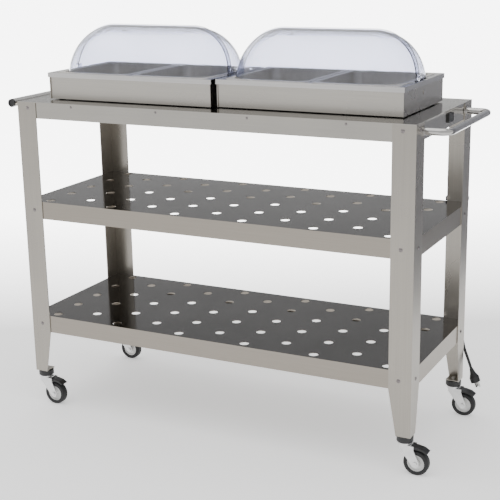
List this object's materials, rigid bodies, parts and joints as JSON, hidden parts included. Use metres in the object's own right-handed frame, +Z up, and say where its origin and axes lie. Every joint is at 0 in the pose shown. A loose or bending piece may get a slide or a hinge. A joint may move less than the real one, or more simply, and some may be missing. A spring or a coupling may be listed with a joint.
{
  "type": "serving cart",
  "caption": "Three-tier stainless serving cart on swivel casters, with two roll-top buffet servers on its deck, a push handle and a stored mains lead.",
  "frame": {"origin": "centre of the cart's outline on the floor under the wheels", "axes": "+X along the cart towards the push handle, +Y from the front to the rear, +Z up"},
  "size_m": [1.417, 0.5414, 1.2319],
  "materials": {
    "deck_steel": "brushed",
    "leg_steel": "brushed",
    "shelf_steel": "brushed",
    "server_steel": "brushed",
    "frame_steel": "satin",
    "pan_steel": "polished",
    "handle_steel": "satin",
    "fixings": "satin",
    "box_steel": "satin",
    "zinc": "satin",
    "clear_cover": "clear",
    "black_plastic": "matte",
    "cord_rubber": "satin",
    "tyre_rubber": "matte",
    "hub_plastic": "satin",
    "blade_nickel": "satin"
  },
  "bodies": {
    "cart": {"top_deck": "deck_steel", "deck_braces": "fixings", "middle_shelf": "shelf_steel", "lower_shelf": "shelf_steel", "leg_front_left": "leg_steel", "leg_front_right": "leg_steel", "leg_rear_left": "leg_steel", "leg_rear_right": "leg_steel", "leg_bolts": "fixings", "leg_nuts": "fixings", "deck_screws": "fixings", "push_handle": "handle_steel", "handle_roses": "handle_steel", "grip_bar": "handle_steel", "grip_bar_posts": "handle_steel", "grip_bar_caps": "black_plastic", "switch_bezel": "black_plastic", "power_box": "box_steel", "cord_gland": "black_plastic", "cord_hook": "handle_steel", "power_cord": "cord_rubber", "cord_hank": "cord_rubber", "hank_tie": "black_plastic", "plug_body": "cord_rubber", "plug_blades": "blade_nickel", "caster_caps": "black_plastic", "left_server_body": "server_steel", "left_server_frame": "frame_steel", "left_server_pans": "pan_steel", "left_rear_cover": "clear_cover", "right_server_body": "server_steel", "right_server_frame": "frame_steel", "right_server_pans": "pan_steel", "right_rear_cover": "clear_cover", "cover_pins": "frame_steel", "server_feet": "black_plastic"},
    "caster_front_left": {"fork_front_left": "zinc", "axle_front_left": "zinc"},
    "wheel_front_left": {"hub_front_left": "hub_plastic", "tyre_front_left": "tyre_rubber"},
    "pedal_front_left": {"brake_front_left": "black_plastic"},
    "caster_front_right": {"fork_front_right": "zinc", "axle_front_right": "zinc"},
    "wheel_front_right": {"hub_front_right": "hub_plastic", "tyre_front_right": "tyre_rubber"},
    "pedal_front_right": {"brake_front_right": "black_plastic"},
    "caster_rear_left": {"fork_rear_left": "zinc", "axle_rear_left": "zinc"},
    "wheel_rear_left": {"hub_rear_left": "hub_plastic", "tyre_rear_left": "tyre_rubber"},
    "pedal_rear_left": {"brake_rear_left": "black_plastic"},
    "caster_rear_right": {"fork_rear_right": "zinc", "axle_rear_right": "zinc"},
    "wheel_rear_right": {"hub_rear_right": "hub_plastic", "tyre_rear_right": "tyre_rubber"},
    "pedal_rear_right": {"brake_rear_right": "black_plastic"},
    "left_lid": {"left_front_cover": "clear_cover"},
    "right_lid": {"right_front_cover": "clear_cover"},
    "rocker": {"switch_rocker": "black_plastic"}
  },
  "joints": [
    {"name": "swivel_front_left", "type": "hinge", "parent": "cart", "child": "caster_front_left", "pos_m": [-0.6485, -0.24525, 0.1], "axis": [0, 0, 1], "continuous": true},
    {"name": "roll_front_left", "type": "hinge", "parent": "caster_front_left", "child": "wheel_front_left", "pos_m": [-0.6125, -0.24525, 0.0375], "axis": [0, 1, 0], "continuous": true},
    {"name": "brake_front_left", "type": "hinge", "parent": "caster_front_left", "child": "pedal_front_left", "pos_m": [-0.6245, -0.24525, 0.084], "axis": [0, 1, 0], "range_deg": [0, 8]},
    {"name": "swivel_front_right", "type": "hinge", "parent": "cart", "child": "caster_front_right", "pos_m": [0.6055, -0.24525, 0.1], "axis": [0, 0, 1], "continuous": true},
    {"name": "roll_front_right", "type": "hinge", "parent": "caster_front_right", "child": "wheel_front_right", "pos_m": [0.6415, -0.24525, 0.0375], "axis": [0, 1, 0], "continuous": true},
    {"name": "brake_front_right", "type": "hinge", "parent": "caster_front_right", "child": "pedal_front_right", "pos_m": [0.6295, -0.24525, 0.084], "axis": [0, 1, 0], "range_deg": [0, 8]},
    {"name": "swivel_rear_left", "type": "hinge", "parent": "cart", "child": "caster_rear_left", "pos_m": [-0.6485, 0.21675, 0.1], "axis": [0, 0, 1], "continuous": true},
    {"name": "roll_rear_left", "type": "hinge", "parent": "caster_rear_left", "child": "wheel_rear_left", "pos_m": [-0.6125, 0.21675, 0.0375], "axis": [0, 1, 0], "continuous": true},
    {"name": "brake_rear_left", "type": "hinge", "parent": "caster_rear_left", "child": "pedal_rear_left", "pos_m": [-0.6245, 0.21675, 0.084], "axis": [0, 1, 0], "range_deg": [0, 8]},
    {"name": "swivel_rear_right", "type": "hinge", "parent": "cart", "child": "caster_rear_right", "pos_m": [0.6055, 0.21675, 0.1], "axis": [0, 0, 1], "continuous": true},
    {"name": "roll_rear_right", "type": "hinge", "parent": "caster_rear_right", "child": "wheel_rear_right", "pos_m": [0.6415, 0.21675, 0.0375], "axis": [0, 1, 0], "continuous": true},
    {"name": "brake_rear_right", "type": "hinge", "parent": "caster_rear_right", "child": "pedal_rear_right", "pos_m": [0.6295, 0.21675, 0.084], "axis": [0, 1, 0], "range_deg": [0, 8]},
    {"name": "left_cover_roll", "type": "hinge", "parent": "cart", "child": "left_lid", "pos_m": [-0.3095, -0.02625, 1.058], "axis": [-1, 0, 0], "range_deg": [0, 80]},
    {"name": "right_cover_roll", "type": "hinge", "parent": "cart", "child": "right_lid", "pos_m": [0.2755, -0.01025, 1.058], "axis": [-1, 0, 0], "range_deg": [0, 80]},
    {"name": "switch_rock", "type": "hinge", "parent": "cart", "child": "rocker", "pos_m": [0.6292, 0.02975, 0.984], "axis": [0, 0, 1], "range_deg": [-5, 5]}
  ]
}
